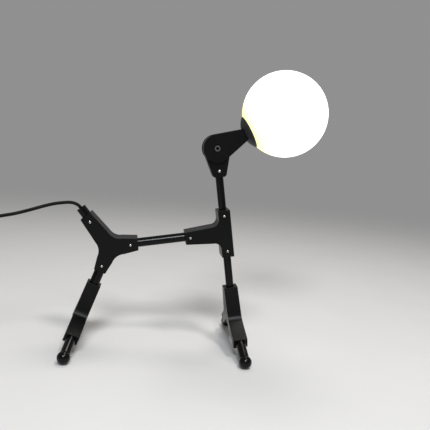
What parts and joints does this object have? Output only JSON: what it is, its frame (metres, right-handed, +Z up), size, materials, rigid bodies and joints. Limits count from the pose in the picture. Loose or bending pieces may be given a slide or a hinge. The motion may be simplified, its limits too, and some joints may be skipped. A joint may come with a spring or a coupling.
{
  "type": "table lamp",
  "caption": "Table lamp shaped like a standing dog: black tube frame, ball feet, tilting opal globe head, cord with rocker switch and plug.",
  "frame": {"origin": "centre of the lamp's footprint box on the table, without the cord", "axes": "+X the way the head looks, +Y the dog's left side, +Z up"},
  "size_m": [0.5781, 0.19, 0.3974],
  "materials": {
    "satin_black": "satin black",
    "tube_black": "glossy black paint",
    "gloss_black": "glossy black lacquer",
    "nickel": "bright nickel plate",
    "zinc": "dull zinc plate",
    "black_rubber": "matt",
    "lead_sleeve": "matt sleeve",
    "white_plastic": "matt white",
    "ceramic": "glazed white",
    "brass": "bright",
    "opal_glass": "opal white, smooth",
    "bulb_diffuser": "frosted white",
    "cord_black": "smooth matt jacket",
    "black_plastic": "fine matt",
    "rocker_black": "glossy"
  },
  "bodies": {
    "body": {"shoulder_near_shell": "satin_black", "shoulder_far_shell": "satin_black", "hip_near_shell": "satin_black", "hip_far_shell": "satin_black", "spine_tube": "tube_black", "neck_tube": "tube_black", "front_leg_tube": "tube_black", "rear_leg_tube": "tube_black", "neck_bracket": "satin_black", "front_leg_bracket": "satin_black", "rear_leg_bracket": "satin_black", "front_near_rod": "gloss_black", "front_far_rod": "gloss_black", "rear_near_rod": "gloss_black", "rear_far_rod": "gloss_black", "front_near_ball": "gloss_black", "front_far_ball": "gloss_black", "rear_near_ball": "gloss_black", "rear_far_ball": "gloss_black", "joint_screws": "nickel", "joint_nuts": "zinc", "bracket_screw": "nickel", "bracket_nut": "zinc", "tail_sleeve": "satin_black", "cord_grommet": "black_rubber", "body_lead": "lead_sleeve", "cord_tail": "cord_black", "switch_lower_shell": "black_plastic", "switch_upper_shell": "black_plastic", "switch_contacts": "brass", "switch_screws": "nickel", "cord_link": "cord_black", "cord_coil": "cord_black", "coil_tie": "black_plastic", "cord_end": "cord_black", "plug_body": "black_plastic", "plug_pins": "nickel"},
    "head": {"head_fork": "satin_black", "pivot_bolt": "zinc", "pivot_nut": "zinc", "friction_washers": "white_plastic", "collar_nipple": "brass", "nipple_nut": "brass", "globe_collar": "satin_black", "globe_ring": "white_plastic", "globe": "opal_glass", "lampholder": "ceramic", "bulb_base": "white_plastic", "bulb_pins": "nickel", "bulb_capsule": "bulb_diffuser", "head_lead": "lead_sleeve"},
    "rocker": {"switch_rocker": "rocker_black"}
  },
  "joints": [
    {"name": "head_tilt", "type": "hinge", "parent": "body", "child": "head", "pos_m": [0.02047, 0, 0.28326], "axis": [0, -1, 0], "range_deg": [-45, 60]},
    {"name": "switch_rock", "type": "hinge", "parent": "body", "child": "rocker", "pos_m": [-0.392, 0.024, 0.0125], "axis": [1, 0, 0], "range_deg": [-16, 0]}
  ]
}
